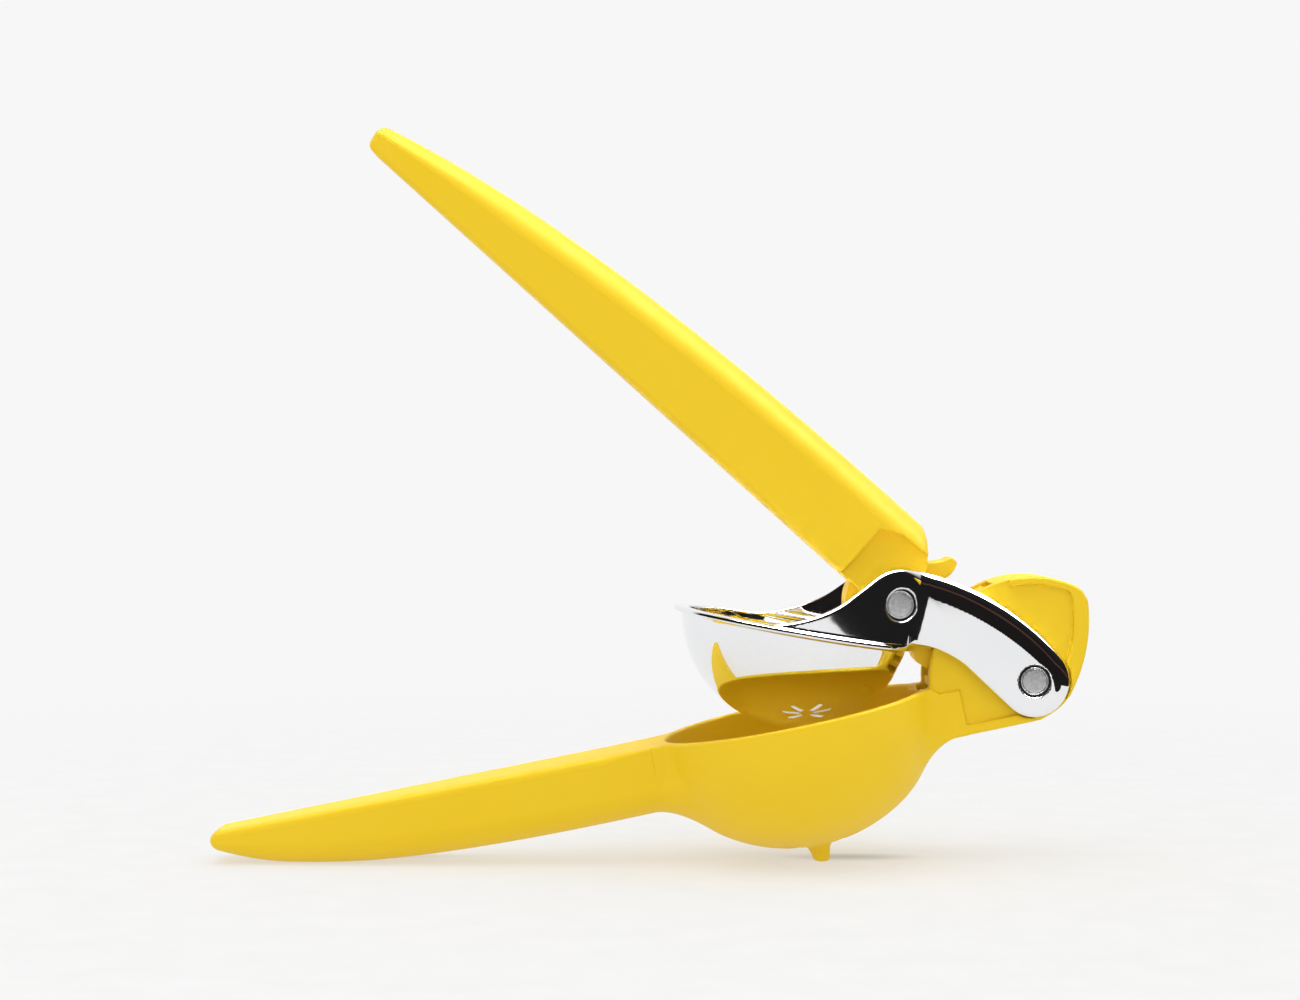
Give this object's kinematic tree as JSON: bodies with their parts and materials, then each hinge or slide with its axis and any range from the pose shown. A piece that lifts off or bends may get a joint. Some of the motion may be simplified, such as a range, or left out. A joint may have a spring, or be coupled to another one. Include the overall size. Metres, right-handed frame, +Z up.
{
  "type": "citrus press juicer",
  "caption": "Hand citrus press: slotted bowl on a long handle, domed press cup on a lever, and an upper handle whose toothed hub rolls on a fixed gear sector.",
  "frame": {"origin": "middle of the overall length and width on the table, under the press as it stands open on its drip foot and lower handle", "axes": "+X from the handle tips to the hinge, +Y across the press, +Z up from the table"},
  "size_m": [0.2756, 0.087, 0.2317],
  "materials": {
    "nylon": "satin, solid lemon yellow",
    "chrome": "polished",
    "pin_steel": "turned ends"
  },
  "bodies": {
    "base": {"lower_body": "nylon"},
    "press": {"press_lever": "chrome", "handle_pin": "pin_steel", "base_pin": "pin_steel"},
    "upper": {"upper_handle": "nylon"}
  },
  "joints": [
    {"name": "press_hinge", "type": "hinge", "parent": "base", "child": "press", "pos_m": [0.1202, 0, 0.05825], "axis": [0, -1, 0], "range_deg": [-14.5, 21.5]},
    {"name": "handle_hinge", "type": "hinge", "parent": "press", "child": "upper", "pos_m": [0.07818, 0, 0.08207], "axis": [0, -1, 0], "range_deg": [-21.75, 32.25]}
  ],
  "couplings": [
    {"joint": "handle_hinge", "follows": "press_hinge", "ratio": 1.5}
  ]
}
